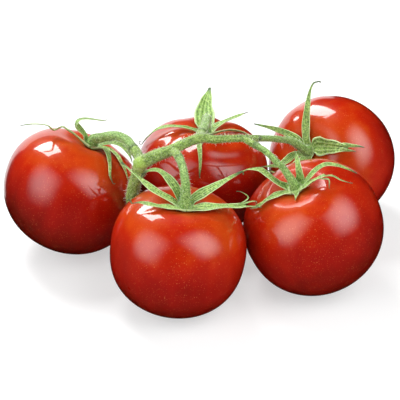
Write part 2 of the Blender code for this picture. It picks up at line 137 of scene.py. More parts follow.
SEPALS = {
    "left": [
        sepal(170, 4.0, [(5.5, 6, -170), (12, 10, -148), (15, 12, -138), (14, 14.5, -139),
                         (9.5, 15.5, -140), (4.5, 15.5, -142), (3, 15, 75), (8.5, 14.5, 71)]),
        sepal(-150, 2.8, [(10, 5, -152), (15.5, 7, -150), (18.5, 7.5, -154), (21, 4, -160),
                          (27.5, 7, -150), (33, 5, -155), (37.5, 1.5, -160)]),
        sepal(-35, 3.2, [(7, 3.4, -20), (13, 3.8, -47), (20.5, 1.5, -57), (26, -1.5, -60),
                         (28.5, -4, -57)], curl=0.35),
        sepal(10, 2.8, [(8, 3.4, 3), (13.5, 3.8, -20), (18.5, 2.5, -29), (23, 0, -31),
                        (28.5, -4.5, -33)]),
        sepal(60, 4.0, [(6, 4, 40), (7.5, 5.5, 24), (10.5, 7.5, 8), (14.5, 7.5, 0), (19, 5.5, -6),
                        (22, 2.5, -8)]),
    ],
    "front": [
        sepal(170, 5.0, [(6.5, 4, 175), (15.5, 8, 174), (24.5, 12, 166), (32.5, 15, 161)]),
        sepal(118, 4.6, [(4.8, 5, 125), (8, 9, 137), (13.5, 12, 140), (17.5, 13, 143),
                         (20.5, 12.5, 150), (22.5, 10.5, 154)], curl=-0.4),
        sepal(48, 4.8, [(4.8, 4.2, 40), (9, 7, 31), (16, 10, 30), (23.5, 13, 30), (28, 15, 29)],
              curl=-0.5),
        sepal(-25, 7.5, [(9, 3.6, -16), (17, 5, -6), (24, 5, 0), (27.5, 5, 3)],
              strands=[(1.5, [(30.5, 6, 7), (33, 5, 10), (34, 3.5, 12)], -0.3),
                       (1.4, [(31, 4.5, 4), (34.5, 4.5, 3)], 0.3),
                       (0.9, [(29, 7, 9), (27, 8, 16), (25.5, 7.5, 20)], 0.5)]),
        sepal(-125, 4.4, [(7, 3.4, -137), (10.5, 4, -147), (14, 4.6, -153), (18, 4.8, -161),
                          (21, 4.4, -167), (23.5, 3.6, -169)], curl=-1.1, twist=-35),
    ],
    "right": [
        sepal(163, 3.7, [(8, 7, 163), (12, 11, 156), (15, 13, 153), (20.5, 13, 153),
                         (25.5, 11, 152), (30, 9, 151)]),
        sepal(-152, 4.0, [(6, 3, -158), (9.5, 3.8, -159), (14.5, 3.8, -161), (18.5, 2.5, -163),
                          (23.5, -1, -175)]),
        sepal(-90, 2.4, [(6, 3, -84), (8.5, 3.8, -87), (11, 4, -90)]),
        sepal(-33, 4.8, [(6.5, 4, -28), (12, 7, -22), (16.5, 8.2, -17)],
              strands=[(1.5, [(19, 6.5, -13), (22.5, 2.5, -12), (26, -1.5, -9)], 0.2),
                       (1.3, [(18, 6, -19), (18, 3, -26)], 0.2)]),
        sepal(15, 2.7, [(9, 7, -5), (13, 9, 1), (17.5, 10, 1), (22, 8, 0), (26, 4, 0),
                        (29, -1, 2)], twist=40),
        sepal(70, 4.2, [(4.8, 4.5, 42), (5.5, 7, 42), (7, 9.2, 51), (9.5, 11.2, 61),
                        (13.5, 13.2, 71)]),
    ],
    "back_right": [
        sepal(92, 4.6, [(6, 3.6, 89), (13, 5, 86), (21, 7, 82), (28.5, 8.2, 80), (33, 9, 77),
                        (34.5, 7.8, 74)], curl=-0.35),
        sepal(140, 4.0, [(6.5, 3.6, 126), (13.5, 7, 135), (19.5, 12, 142), (26.5, 17, 148)]),
        sepal(-172, 3.6, [(7, 6, -162), (10, 10, -147), (12.5, 15, -139), (13.5, 23, -132),
                          (15.5, 30, -132)]),
        sepal(-118, 3.8, [(7, 7, -115), (11, 10.5, -115), (14.5, 15, -118), (15.5, 21, -122),
                          (15.5, 28, -123)]),
        sepal(-62, 4.0, [(6, 4, -80), (8.5, 4.6, -90)]),
        sepal(20, 9.4, [(6, 3.6, 15), (9.5, 3.8, 6), (16.5, 5, -1), (23.5, 5, -4)],
              strands=[(2.7, [(28, 4.2, -2), (32.5, 4, -4)], 0.0),
                       (2.3, [(25.5, 4.8, -7), (28.5, 4.8, -8)], 0.0)]),
    ],
    "back": [
        sepal(95, 11.0, [(8, 5, 97), (12.5, 8, 95), (17.5, 11, 92), (23, 14, 89),
                         (26.5, 15.5, 88)], curl=-0.45),
        sepal(-165, 3.6, [(8, 4, -158), (13.5, 6, -157), (19.5, 6, -163), (25, 3.5, -169),
                          (29, -1.5, -174), (31.5, -6.5, -178)], curl=0.9),
        sepal(-105, 3.6, [(6.5, 3.2, -98), (14.5, 4.2, -99), (20, 2.6, -100), (24, 0, -97),
                          (28, -3.5, -95), (32, -9, -94)]),
        sepal(-45, 3.6, [(6, 3.6, -48), (9, 5, -30), (12.5, 5, -13), (18.5, 2.5, -2),
                         (23.5, -2.5, -2), (30, -8.5, 6)], curl=0.3),
        sepal(30, 4.2, [(6.5, 4.5, 32), (12.5, 6.5, 32), (17.5, 9, 25), (21.5, 12, 17)]),
    ],
}

# Stems, in the row's frame. The main stem is (x, y, z, thickness) from its cut end on.
MAIN_STEM = [
    (-33.5, -11, 33, 5.8), (-34.5, -12.5, 41, 6.0), (-33, -15, 49.5, 6.0), (-31, -17, 57, 6.3),
    (-29.5, -18, 62.5, 6.6), (-25.5, -18, 65, 6.2), (-20.5, -18, 67.5, 5.7),
    (-15.5, -18, 69.5, 5.2), (-9.5, -15.5, 71.5, 4.7), (-3.5, -12.5, 72.5, 4.6),
    (0, -11, 72.2, 4.2), (5, -10, 71, 3.9), (11, -8.5, 70.5, 3.6), (18, -7, 70, 3.4),
]
# Each pedicel: its thickness at the main stem, in the middle and at the calyx, the share of its
# length that its knuckle is at, and the points it passes.
PEDICELS = {
    "left": (5.0, 4.3, 5.2, 0.20, [
        (-29.5, -18, 62.5), (-31.5, -12.5, 64.5), (-34, -8, 65.7), (-36.5, -3, 66.5),
        (-40, 1.5, 66), (-43, 5, 64.7), (-46.5, 8.5, 62.5), (-50, 11.5, 60),
    ]),
    "front": (3.9, 3.5, 5.6, 0.24, [
        (-15, -18, 69.5), (-12, -25, 70.5), (-10, -32.5, 69.5), (-9, -37.5, 67),
        (-8.5, -40.5, 63.5),
    ]),
    "right": (3.1, 2.8, 4.5, 0.20, [
        (18, -7, 70), (23, -12, 69.5), (27.5, -16.5, 69), (31, -20, 67.5), (34, -23, 65.7),
        (37, -25.5, 63.5),
    ]),
    "back_right": (3.1, 3.0, 4.9, 0.20, [
        (18, -7, 70), (25.5, 0, 66), (32.5, 7, 62), (38.5, 13, 58), (43, 17, 55),
        (46.5, 19.5, 51.5),
    ]),
    "back": (4.1, 3.6, 4.8, 0.20, [
        (-3.5, -12.5, 72.5), (-1.5, -4, 70.5), (0, 5, 69), (1, 14, 67.5), (1.5, 22, 65),
        (1.6, 28, 61),
    ]),
}
CALYX_LEAD = 5  # how far above the hub a pedicel is in line with the fruit's axis
KNUCKLE_SWELL = 0.16
KNUCKLE_LENGTH = 2.2
KNUCKLE_GROOVE = 0.10
GROOVE_LENGTH = 0.35
HUB_FLARE = 0.18
FLARE_LENGTH = 1.3
RING_STEP = 0.45  # between two rings of a stem
STEM_SIDES = 40
STEM_ACROSS = (0.3, 0.2, 1)  # what a stem's turns are counted from
STEM_RIDGES = 5
RIDGE_TWIST = 0.06  # radians per mm
PEDICEL_RIDGE = 0.035  # over the radius
UNEVEN_SCALE = 0.35
VOXEL = 0.3  # of the mesh that joins the main stem to its stubs
CUT_REACH = 6  # of the cut end's look, from its middle
KNOB = ((-30.2, -19.2, 63.2), 3.1)  # where the main stem was bent: a swollen, yellower spot
HAIR_LEAN = 0.35
HAIR_ROOT = 0.1  # how far inside its host a hair starts

# Hairs: the slot that they grow on, how many there are per cm2, their length and their thickness
HAIRS = {
    "hairs_stem": ("stem", 120, 0.95, 0.09),
    "hairs_pedicels": ("pedicel", 120, 0.85, 0.09),
    "hairs_calyces": ("calyx", 40, 0.6, 0.09),
    "long_hairs_stem": ("stem", 26, 1.9, 0.15),
    "long_hairs_pedicels": ("pedicel", 18, 1.5, 0.13),
}

# Studio, in metres and degrees
CAMERA_TARGET = (-0.002, -0.0057, 0.035)
CAMERA_DISTANCE = 0.65
CAMERA_TILT = 31.5
LENS = 120.5  # mm
SENSOR = 36  # mm
FLOOR_HALF = 3.0
FLOOR_GLOW = 0.66
LAMP_TARGET = (0, 0, 0.03)
# Each lamp: the way to it, its distance, its width and height, its radiance and the share of each
# side that its edges fade over
LAMPS = {
    "lamp_key": ((-0.34, 0.58, 0.76), 0.95, (0.40, 0.58), 14, 0.0),
    "lamp_left": ((-0.70, -0.50, 0.54), 0.90, (1.15, 1.60), 3.3, 0.45),
    "lamp_right": ((0.60, -0.38, 0.68), 0.90, (1.10, 1.50), 4.3, 0.45),
    # The pale table behind, as the skins' upper rims mirror it. Most of it is below the floor.
    "lamp_table": ((-0.30, 1.0, -0.14), 1.10, (1.1, 0.96), 1.1, 0.06),
}
# The sky, as (height of the direction, colour)
HORIZON = (0.16, (0.78, 0.78, 0.78, 1))
OVERHEAD = (0.40, (0.22, 0.22, 0.22, 1))


# Routes


def smooth_route(points, count):
    """count points in equal steps along a smooth curve through the given ones."""
    points = [Vector(p) for p in points]
    ends = [2 * points[0] - points[1], *points, 2 * points[-1] - points[-2]]
    fine = [points[0]]
    for a, b, c, d in zip(ends, ends[1:], ends[2:], ends[3:]):
        square = a - 2.5 * b + 2 * c - d / 2
        cube = 1.5 * (b - c) + (d - a) / 2
        for t in (step / 12 for step in range(1, 13)):
            fine.append(b + (c - a) * t / 2 + square * t**2 + cube * t**3)
    steps = [(b - a).length for a, b in zip(fine, fine[1:])]
    travelled = np.concatenate([[0], np.cumsum(steps)])
    at = np.linspace(0, travelled[-1], count)
    columns = [np.interp(at, travelled, [p[k] for p in fine]) for k in range(len(fine[0]))]
    return [Vector(p) for p in zip(*columns)]


def route_length(route):
    return sum((b - a).length for a, b in zip(route, route[1:]))


def directions(route):
    """The way a route runs at each of its points."""
    ahead = route[1:] + [2 * route[-1] - route[-2]]
    behind = [2 * route[0] - route[1]] + route[:-1]
    return [(a - b).normalized() for a, b in zip(ahead, behind)]


def ease(x):
    """0 below 0, 1 above 1 and smooth between."""
    x = min(1.0, max(0.0, x))
    return x * x * (3 - 2 * x)


# Meshes


class Shape:
    """Points, faces and a vector at each point that the materials read, in mm."""

    def __init__(self):
        self.points, self.grain, self.faces = [], [], []

    def add(self, point, grain):
        self.points.append(tuple(point))
        self.grain.append(tuple(grain))
        return len(self.points) - 1

    def row(self, points, grains):
        return [self.add(p, g) for p, g in zip(points, grains)]

    def join(self, a, b):
        """Faces between two closed rows of equally many points."""
        for i in range(len(a)):
            j = (i + 1) % len(a)
            self.faces.append((a[i], a[j], b[j], b[i]))

    def close(self, row, point, grain):
        """A fan from a closed row to one point."""
        tip = self.add(point, grain)
        for i in range(len(row)):
            self.faces.append((row[i], row[(i + 1) % len(row)], tip))


def piece(name, shape, look, place=Matrix.Identity(4)):
    """The shape as one smooth object in metres, with its material."""
    mesh = bpy.data.meshes.new(name)
    mesh.from_pydata([place @ Vector(p) * MM for p in shape.points], [], shape.faces)
    grain = mesh.attributes.new("grain", "FLOAT_VECTOR", "POINT")
    grain.data.foreach_set("vector", np.array(shape.grain, np.float32).ravel())
    mesh.materials.append(look)
    mesh.shade_smooth()
    made = bpy.data.objects.new(name, mesh)
    bpy.context.scene.collection.objects.link(made)
    turn_faces_out(made)
    return made


def turn_faces_out(obj):
    """Turns every closed part of a mesh so that its faces point out."""
    bm = bmesh.new()
    bm.from_mesh(obj.data)
    bmesh.ops.recalc_face_normals(bm, faces=bm.faces)
    bm.to_mesh(obj.data)
    bm.free()


# Tomatoes


def skin(tomato, tilt, bearing):
    """The plain skin, over its radius and in its own frame, at tilts from the stem end's axis."""
    count, strength, at = tomato["ribs"]
    fade = np.exp(-(((tilt - RIB_TILT) / RIB_SPREAD) ** 2))
    rib = strength * fade * np.cos(count * (bearing - radians(at)))
    across, along = np.sin(tilt), np.cos(tilt)
    flat = np.abs(along / tomato["squash"])
    full = tomato["fullness"]
    reach = (np.abs(across) ** full + flat**full) ** (-1 / full) * (1 + rib)
    out, up = reach * across * (1 + tomato["taper"] * along), reach * along
    up = up - np.where(up > 0, tomato["hollow"] * np.exp(-((out / HOLLOW_WIDTH) ** 2)), 0)
    return np.stack([out * np.cos(bearing), out * np.sin(bearing), up], -1)


def own_axes(tomato):
    """The tomato's rotation. Its stem end is along its own Z, and its own X above the world's X."""
    up = Vector(tomato["looks"]).normalized()
    side = (Vector((1, 0, 0)) - up * up.x).normalized()
    return Matrix((side, up.cross(side), up)).transposed()


def measure(name, tomato):
    """Sets the tomato's radius in mm and its place, so that it fills its CAD node's box."""
    tilt, bearing = np.meshgrid(np.linspace(0, pi, 61), np.linspace(0, tau, 121))
    axes = np.array(own_axes(tomato))
    points = skin(tomato, tilt, bearing).reshape(-1, 3) @ axes.T
    low, high = (np.array(corner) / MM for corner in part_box(f"tomato_{name}"))
    tomato["radius"] = float((high - low)[0] / np.ptp(points[:, 0]))
    points = points * tomato["radius"]
    middle = (high + low) / 2 - (points.max(0) + points.min(0)) / 2
    place = own_axes(tomato).to_4x4()
    place.translation = (middle[0], middle[1], -points[:, 2].min() - REST_PRESS)
    tomato["place"] = place


def fold_depth(tomato, tilt, bearing):
    """How far the folds press the skin in, in mm, with a slight bank on each side."""
    depth = np.zeros_like(tilt)
    radius = tomato["radius"]
    for (tilt_a, turn_a), (tilt_b, turn_b), width, deep in tomato["folds"]:
        around = np.sin((tilt_a + tilt_b) / 2) * radius
        off = (bearing - radians(turn_a) + pi) % tau - pi
        x, y = off * around, (tilt - tilt_a) * radius
        run = np.array([radians(turn_b - turn_a) * around, (tilt_b - tilt_a) * radius])
        share = np.clip((x * run[0] + y * run[1]) / (run @ run), 0, 1)
        away = np.hypot(x - share * run[0], y - share * run[1]) / width
        depth += deep * (np.exp(-(away**2)) - 0.35 * np.exp(-((away - 1.9) ** 2)))
    return depth


def lumps(tilt, bearing, rng):
    """Slow unevenness of the skin, in mm, none of it at the two ends."""
    total = np.zeros_like(tilt)
    for turns in (1, 2, 3, 5):
        for waves in (1, 2, 3):
            size = LUMP_SIZE / (turns + waves - 1) ** 1.5
            phases = rng.uniform(0, tau), rng.uniform(0, tau)
            total += size * np.cos(turns * bearing + phases[0]) * np.cos(waves * tilt + phases[1])
    return total * np.sin(tilt) ** 2


def tomato_piece(name, look):
    tomato = TOMATOES[name]
    rng = np.random.default_rng(SEED + len(name))
    # The rings are closer together in the hollow.
    rings = pi * (np.arange(1, TOMATO_RINGS) / TOMATO_RINGS) ** 1.15
    turns = np.arange(TOMATO_SEGMENTS) * tau / TOMATO_SEGMENTS
    tilt, bearing = np.meshgrid(rings, turns, indexing="ij")
    points = skin(tomato, tilt, bearing) * tomato["radius"]
    folds = fold_depth(tomato, tilt, bearing) * np.clip(tilt * 5 - 1, 0, 1)
    change = lumps(tilt, bearing, rng) - folds
    points *= 1 + change[..., None] / np.linalg.norm(points, axis=-1, keepdims=True)
    # A shallow dimple at the blossom end
    out = np.hypot(points[..., 0], points[..., 1])
    dimple = BLOSSOM_DIMPLE * np.exp(-((out / BLOSSOM_WIDTH) ** 2))
    points[..., 2] += np.where(tilt > pi / 2, dimple, 0)
    shape = Shape()
    rows = [shape.row(row, row) for row in points]
    for upper, lower in zip(rows, rows[1:]):
        shape.join(upper, lower)
    for row, pole_tilt, raised in ((rows[0], 0.0, 0), (rows[-1], pi, BLOSSOM_DIMPLE)):
        pole = skin(tomato, np.array(pole_tilt), np.array(0.0)) * tomato["radius"]
        shape.close(row, pole + (0, 0, raised), pole)
    press_flat(shape, tomato["place"])
    return piece(f"skin_{name}", shape, look, tomato["place"])


def press_flat(shape, place):
    """Lifts what is below the surface up to it, with a soft edge."""
    back = place.inverted()
    for i, point in enumerate(shape.points):
        world = place @ Vector(point)
        if world.z < 2:
            world.z = (world.z + (world.z**2 + PRESS_SOFTNESS**2) ** 0.5) / 2
            shape.points[i] = tuple(back @ world)


# Calyces


def local_point(distance, height, bearing):
    return Vector((distance * cos(radians(bearing)), distance * sin(radians(bearing)), height))


def hollow_floor(tomato):
    return (tomato["squash"] - tomato["hollow"]) * tomato["radius"]


def skin_height(tomato, distance, bearing):
    """How high the upper skin is above the hollow's floor, that far from the axis, in mm."""
    tilts = np.linspace(0, 1.5, 200)
    points = skin(tomato, tilts, radians(bearing)) * tomato["radius"]
    out = np.hypot(points[:, 0], points[:, 1])
    return float(np.interp(distance, out, points[:, 2])) - hollow_floor(tomato)


def above_skin(tomato, distance, height, bearing):
    """The point, lifted where it would sink into the skin."""
    if distance < OVER_SKIN * tomato["radius"]:
        height = max(height, skin_height(tomato, distance, bearing) + SKIN_CLEARANCE)
    return local_point(distance, height, bearing)


def sepal_width(share):
    """A sepal's width at a share of its length, over its greatest width."""
    return 1.12 * min(1, 0.72 + 1.2 * share) * (0.10 + 0.90 * (1 - share**1.6) ** 1.15)


def roll_up(route, side, turns, radius=TIP_CURL):
    """The route with its end rolled into a small hook or spiral."""
    if not turns:
        return route
    ahead = directions(route)[-1]
    steps = max(6, round(abs(turns) * 26))
    route = list(route)
    for step in range(steps):
        size = radius * (1 - 0.5 * step / steps)
        turn = tau * turns / steps
        ahead = Matrix.Rotation(-turn, 3, side) @ ahead
        route.append(route[-1] + ahead * size * abs(turn))
    return route


def blade_row(middle, run, side, width, thick, columns, wave, share):
    """A blade's cross-section as a closed row: along its top, then back along its underside."""
    normal = run.cross(side)
    top, under = [], []
    for column in range(columns + 1):
        u = 1 - 2 * column / columns
        edge = (1 - u * u) ** 0.5
        half = (SEPAL_EDGE + (thick - SEPAL_EDGE) * edge) / 2 * min(1, 0.35 + edge)
        veins = 0.01 * width * (cos(u * VEIN_PHASE) - 1) * edge if columns > 6 else 0
        midrib = 0.05 * width * exp(-((u / 0.1) ** 2))
        rise = SEPAL_CUP * width * u * u + wave * u * abs(u) - midrib
        base = middle + side * (u * width / 2) + normal * rise
        top.append((base + normal * (half + veins), (u, share, 1)))
        under.append((base - normal * half, (u, share, 0)))
    return top + under[::-1]


def blade_rows(route, side, width, columns, twist, rng, full=None):
    """Cross-sections along a route. full is the route's length before its tip was rolled up."""
    rows = []
    travelled, length = 0.0, full or route_length(route)
    phase = rng.uniform(0, tau)
    for i, (middle, run) in enumerate(zip(route, directions(route))):
        if i:
            travelled += (middle - route[i - 1]).length
        share = min(1.0, travelled / length)
        side = (side - run * side.dot(run)).normalized()
        turned = Matrix.Rotation(radians(twist) * ease(share), 3, run) @ side
        taper = sepal_width(share) * (1 + 0.05 * sin(share * 17 + phase))
        wide = max(THINNEST_SEPAL, width * taper)
        thick = max(THINNEST_BLADE, SEPAL_THICKNESS * (0.45 + 0.55 * taper))
        wave = 0.06 * width * sin(share * 11 + phase) * ease(share * 3)
        rows.append(blade_row(middle, run, turned, wide, thick, columns, wave, share))
    return rows, side


def add_strand(shape, tomato, start, side, strand, rng):
    """A thin closed tip that grows out of a sepal's end."""
    width, points, curl = strand
    route = smooth_route([start] + [above_skin(tomato, *p) for p in points], 26)
    full = route_length(route)
    rolled = roll_up(route, side, curl, STRAND_CURL)
    rows, _ = blade_rows(rolled, side, width, STRAND_COLUMNS, 0, rng, full)
    made = []
    for i, row in enumerate(rows):
        grains = [(u, 0.55 + 0.45 * share, top) for _, (u, share, top) in row]
        middle = sum((p for p, _ in row), Vector()) / len(row)
        swell = 0.3 + 0.7 * ease(3 * i / len(rows))  # it starts thin, inside the blade
        rows[i] = [(middle.lerp(p, swell), grain) for p, grain in row]
        made.append(shape.row([p for p, _ in rows[i]], grains))
    for a, b in zip(made, made[1:]):
        shape.join(a, b)
    for row, points in ((made[0], rows[0]), (made[-1], rows[-1])):
        middle = sum((p for p, _ in points), Vector()) / len(points)
        shape.close(row, middle, (0, 1, 1))


def calyx_piece(name, look):
    """One closed star: every sepal grows out of its sector of the hub."""
    tomato = TOMATOES[name]
    rng = random.Random(SEED + len(name))
    sepals = sorted(SEPALS[name], key=lambda s: s["bearing"])
    bearings = [s["bearing"] for s in sepals]
    before = [bearings[-1] - 360] + bearings[:-1]
    after = bearings[1:] + [bearings[0] + 360]
    turns = []
    for low, own, high in zip(before, bearings, after):
        start, end = (low + own) / 2, (own + high) / 2
        turns += [start + (end - start) * k / SEPAL_COLUMNS for k in range(SEPAL_COLUMNS)]
    shape = Shape()
    rims = []
    for way, height in ((1, HUB_CROWN), (0, HUB_FOOT)):
        rings = []
        for ring in range(1, HUB_RINGS + 1):
            share = ring / HUB_RINGS
            level = height - (0.35 * share**2 if way else -0.15 * share**2)
            points = [local_point(HUB_RADIUS * share, level, turn) for turn in turns]
            rings.append(shape.row(points, [(0, 0, way)] * len(points)))
        for a, b in zip(rings, rings[1:]):
            shape.join(a, b)
        shape.close(rings[0], (0, 0, height), (0, 0, way))
        rims.append(rings[-1])
    for i, own in enumerate(sepals):
        first = i * SEPAL_COLUMNS
        columns = [(first + k) % len(turns) for k in range(SEPAL_COLUMNS + 1)][::-1]
        base = [rims[0][c] for c in columns] + [rims[1][c] for c in columns[::-1]]
        grow_sepal(shape, tomato, own, base, rng)
    seat = tomato["place"] @ Matrix.Translation((0, 0, hollow_floor(tomato)))
    return piece(f"sepals_{name}", shape, look, seat)


def grow_sepal(shape, tomato, own, base, rng):
    """Grows a sepal from its part of the hub's rim, a closed row of points."""
    side = local_point(1, 0, own["bearing"] + 90)
    rim = local_point(HUB_RADIUS, (HUB_FOOT + HUB_CROWN) / 2, own["bearing"])
    route = smooth_route([rim] + [above_skin(tomato, *p) for p in own["points"]], SEPAL_RINGS)
    full = route_length(route) / (FORK_SHARE if own["strands"] else 1)
    rolled = roll_up(route, side, own["curl"])
    rows, side = blade_rows(rolled, side, own["width"], SEPAL_COLUMNS, own["twist"], rng, full)
    rim_points = [Vector(shape.points[k]) for k in base]
    last = base
    for k, row in enumerate(rows[1:], 1):
        grown = ease(k / BASE_RINGS)
        moved = rolled[k] - rim
        points = [(a + moved).lerp(b, grown) for a, (b, _) in zip(rim_points, row)]
        last_row = shape.row(points, [g for _, g in row])
        shape.join(last, last_row)
        last = last_row
    end = rolled[-1] + directions(rolled)[-1] * (0.8 if own["strands"] else 0.15)
    shape.close(last, end, (0, 1, 1))
    for j, strand in enumerate(own["strands"]):
        aside = side * STRAND_OFFSETS[j] * own["width"] * sepal_width(0.7)
        start = rolled[-1] - directions(rolled)[-1] * STRAND_LEAD * own["width"] + aside
        add_strand(shape, tomato, start, side, strand, rng)


# Stems


def rough(point, scale):
    """Uneven -1 to 1, for a point in mm."""
    return noise.noise(Vector(point) * scale)


def tube(shape, route, thicknesses, ridges=0.0, runs=None):
    """A closed tube with slight lengthwise ridges."""
    across = Vector(STEM_ACROSS)
    rows, travelled = [], 0.0
    runs = runs or directions(route)
    for i, (middle, run, thickness) in enumerate(zip(route, runs, thicknesses)):
        if i:
            travelled += (middle - route[i - 1]).length
        across = (across - run * across.dot(run)).normalized()
        other = run.cross(across)
        points, grains = [], []
        for side in range(STEM_SIDES):
            turn = tau * side / STEM_SIDES
            way = across * cos(turn) + other * sin(turn)
            ridge = ridges * cos(STEM_RIDGES * turn + RIDGE_TWIST * travelled)
            bumps = 1.8 * ridges * rough(middle + way * 3, UNEVEN_SCALE)
            points.append(middle + way * (thickness / 2 * (1 + ridge) + bumps))
            grains.append((turn, travelled, 0))
        rows.append(shape.row(points, grains))
    for a, b in zip(rows, rows[1:]):
        shape.join(a, b)
    shape.close(rows[0], route[0], (0, 0, 0))
    shape.close(rows[-1], route[-1], (0, travelled, 0))


def pedicel_halves(name):
    """The stub on the main stem and the rest up to the hub, as (route, directions, thicknesses)."""
    start, waist, end, knuckle_at, points = PEDICELS[name]
    tomato = TOMATOES[name]
    seat = tomato["place"] @ Matrix.Translation((0, 0, hollow_floor(tomato)))
    leads = [seat @ Vector((0, 0, height)) for height in (CALYX_LEAD, HUB_CROWN - 0.2)]
    rough_route = smooth_route([*points, *leads], 60)
    count = round(route_length(rough_route) / RING_STEP)
    route = smooth_route([*points, *leads], count)
    length = route_length(route)
    knuckle = round(knuckle_at * (count - 1))
    thicknesses = []
    for i in range(count):
        share = i / (count - 1)
        plain = waist + (start - waist) * (1 - share) ** 4 + (end - waist) * share**4
        off = (i - knuckle) / (count - 1) * length
        swell = KNUCKLE_SWELL * exp(-((off / KNUCKLE_LENGTH) ** 2))
        groove = KNUCKLE_GROOVE * exp(-((off / GROOVE_LENGTH) ** 2))
        flare = HUB_FLARE * exp(-(((1 - share) * length / FLARE_LENGTH) ** 2))
        thicknesses.append(plain * (1 + swell - groove + flare))
    runs = directions(route)
    runs[-1] = seat.to_3x3() @ Vector((0, 0, -1))
    stub = (route[: knuckle + 1], runs[: knuckle + 1], thicknesses[: knuckle + 1])
    rest = (route[knuckle:], runs[knuckle:], thicknesses[knuckle:])
    return stub, rest


def pedicel_piece(name, look):
    _, (route, runs, thicknesses) = pedicel_halves(name)
    shape = Shape()
    tube(shape, route, thicknesses, PEDICEL_RIDGE, runs)
    return piece(f"stalk_{name}", shape, look)


def ball(shape, centre, radius):
    rows = []
    for ring in range(1, 12):
        tilt = pi * ring / 12
        points = []
        for side in range(24):
            turn = tau * side / 24
            way = Vector((sin(tilt) * cos(turn), sin(tilt) * sin(turn), cos(tilt)))
            points.append(Vector(centre) + way * radius)
        rows.append(shape.row(points, [(0, 0, 0)] * 24))
    for a, b in zip(rows, rows[1:]):
        shape.join(a, b)
    shape.close(rows[0], Vector(centre) + Vector((0, 0, radius)), (0, 0, 0))
    shape.close(rows[-1], Vector(centre) - Vector((0, 0, radius)), (0, 0, 0))


def main_stem_piece(look):
    """The main stem, its knob and its stubs, joined by one fine mesh with soft inner corners."""
    shape = Shape()
    count = round(route_length([p.xyz for p in smooth_route(MAIN_STEM, 60)]) / RING_STEP)
    route = smooth_route(MAIN_STEM, count)
    lines = [[p.xyz for p in route]]
    tube(shape, lines[0], [p.w for p in route])
    for name in PEDICELS:
        (points, runs, thicknesses), _ = pedicel_halves(name)
        tube(shape, points, thicknesses, runs=runs)
        lines.append(points)
    ball(shape, *KNOB)
    made = piece("stem_arch", shape, look)
    remesh = made.modifiers.new("one_skin", "REMESH")
    remesh.mode = "VOXEL"
    remesh.voxel_size = VOXEL * MM
    soften = made.modifiers.new("soften", "SMOOTH")
    soften.factor = 0.5
    soften.iterations = 5
    graph = bpy.context.evaluated_depsgraph_get()
    mesh = bpy.data.meshes.new_from_object(made.evaluated_get(graph))
    made.modifiers.clear()
    made.data = mesh
    finish_stem(mesh, lines)
    mesh.shade_smooth()
    return made


def finish_stem(mesh, lines):
    """Gives the joined mesh its ridges, unevenness and grain, from the nearest of its lines."""
    ways = [directions(line) for line in lines]
    flat = [(k, i) for k, line in enumerate(lines) for i in range(len(line))]
    tree = kdtree.KDTree(len(flat))
    for index, (k, i) in enumerate(flat):
        tree.insert(lines[k][i], index)
    tree.balance()
    knob, size = KNOB
    grains, moved = [], []
    cut, cut_way = lines[0][0], ways[0][0]
    for vertex in mesh.vertices:
        point = vertex.co / MM
        near, index, _ = tree.find(point)
        k, i = flat[index]
        run = ways[k][i]
        across = Vector(STEM_ACROSS)
        across = (across - run * across.dot(run)).normalized()
        away = point - near
        turn = atan2(away.dot(run.cross(across)), away.dot(across))
        at_cut = (point - cut).dot(cut_way) < 0.5 and (point - cut).length < CUT_REACH
        knob_share = exp(-(((point - Vector(knob)).length / size) ** 4) * 0.35)
        grains.append((turn, i * RING_STEP + 40 * k, -1 if at_cut else knob_share))
        push = 0.07 * cos(STEM_RIDGES * turn + RIDGE_TWIST * i * RING_STEP)
        push += 0.10 * rough(point, UNEVEN_SCALE)
        moved.append(vertex.co + vertex.normal * (push * (0.3 if at_cut else 1)) * MM)
    for vertex, co in zip(mesh.vertices, moved):
        vertex.co = co
    grain = mesh.attributes.get("grain") or mesh.attributes.new("grain", "FLOAT_VECTOR", "POINT")
    grain.data.foreach_set("vector", np.array(grains, np.float32).ravel())


# Hairs


def hair_piece(name, hosts, per_cm2, length, thickness, look, rng):
    """Fine upright hairs, each a thin closed spike, spread evenly over the hosts."""
    shape = Shape()
    for host in hosts:
        mesh, world = host.data, host.matrix_world
        mesh.calc_loop_triangles()
        corners = np.array([[mesh.vertices[v].co for v in t.vertices] for t in mesh.loop_triangles])
        cross = np.cross(corners[:, 1] - corners[:, 0], corners[:, 2] - corners[:, 0])
        areas = np.linalg.norm(cross, axis=1) / 2
        count = round(float(areas.sum()) * 1e4 * per_cm2)
        chosen = rng.choice(len(areas), count, p=areas / areas.sum())
        for k in chosen:
            a, b = sorted(rng.uniform(0, 1, 2))
            spot = corners[k, 0] * a + corners[k, 1] * (b - a) + corners[k, 2] * (1 - b)
            foot = world @ Vector(spot) / MM
            up = (world.to_3x3() @ Vector(cross[k])).normalized()
            lean = Vector(rng.normal(0, HAIR_LEAN, 3))
            own_length = length * rng.uniform(0.5, 1.2)
            add_hair(shape, foot, (up + lean).normalized(), own_length, thickness)
    return piece(name, shape, look)


def add_hair(shape, foot, up, length, thickness):
    side = up.orthogonal().normalized()
    other = up.cross(side)
    start = foot - up * HAIR_ROOT
    ring = []
    for k in range(3):
        turn = tau * k / 3
        ring.append(start + (side * cos(turn) + other * sin(turn)) * thickness / 2)
    row = shape.row(ring, [(0, 0, 0)] * 3)
    shape.close(row, foot + up * length, (0, 1, 0))
    shape.faces.append(tuple(row))


# Materials


